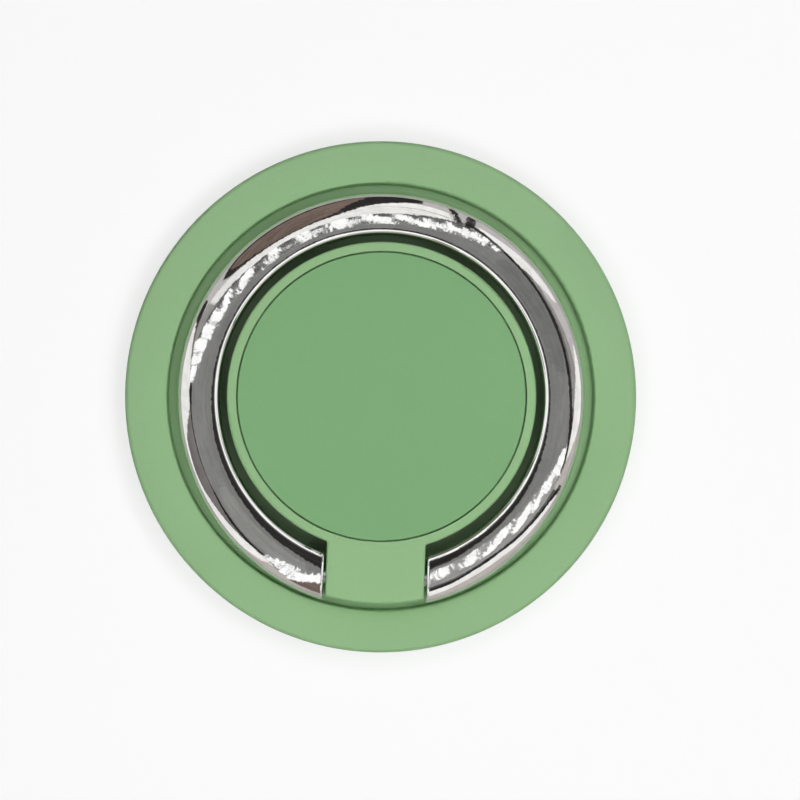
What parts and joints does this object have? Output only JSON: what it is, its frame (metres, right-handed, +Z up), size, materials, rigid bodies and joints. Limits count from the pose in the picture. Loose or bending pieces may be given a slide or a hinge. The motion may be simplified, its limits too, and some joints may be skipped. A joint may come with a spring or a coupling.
{
  "type": "phone ring holder",
  "caption": "Round stick-on phone grip: a green painted base disc, a turning hub with a tab, and a chromed finger ring that folds up from it.",
  "frame": {"origin": "centre of the adhesive pad's underside, on the axis that the hub turns about", "axes": "+Z up, away from the phone; the hub's tab points along -Y; the ring's hinge axis is parallel to X; the ring is folded flat"},
  "size_m": [0.038, 0.038, 0.0049],
  "materials": {
    "base_paint": "satin green paint",
    "hub_paint": "satin green paint, a little lighter",
    "inlay_paint": "matt green paint, a little darker",
    "ring_chrome": "polished, faintly wavy plating",
    "bare_steel": "bare bright steel",
    "spring_steel": "bare spring steel",
    "slip_plastic": "natural slippery plastic",
    "clear_film": "clear double-sided adhesive film",
    "adhesive_foam": "matt grey acrylic foam"
  },
  "bodies": {
    "base": {"base_plate": "base_paint", "back_cover": "bare_steel", "adhesive_pad": "adhesive_foam", "bearing_bush": "slip_plastic", "slip_washer": "slip_plastic", "wave_washer": "spring_steel"},
    "hub": {"hub": "hub_paint", "centre_rivet": "bare_steel", "retaining_washer": "bare_steel", "inlay_film": "clear_film", "inlay_disc": "inlay_paint", "friction_sleeve": "spring_steel"},
    "ring": {"ring": "ring_chrome", "hinge_pin": "bare_steel"}
  },
  "joints": [
    {"name": "hub_spin", "type": "hinge", "parent": "base", "child": "hub", "pos_m": [0, 0, 0.00235], "axis": [0, 0, 1], "continuous": true},
    {"name": "ring_fold", "type": "hinge", "parent": "hub", "child": "ring", "pos_m": [0, -0.01343, 0.0036], "axis": [1, 0, 0], "range_deg": [0, 150]}
  ]
}
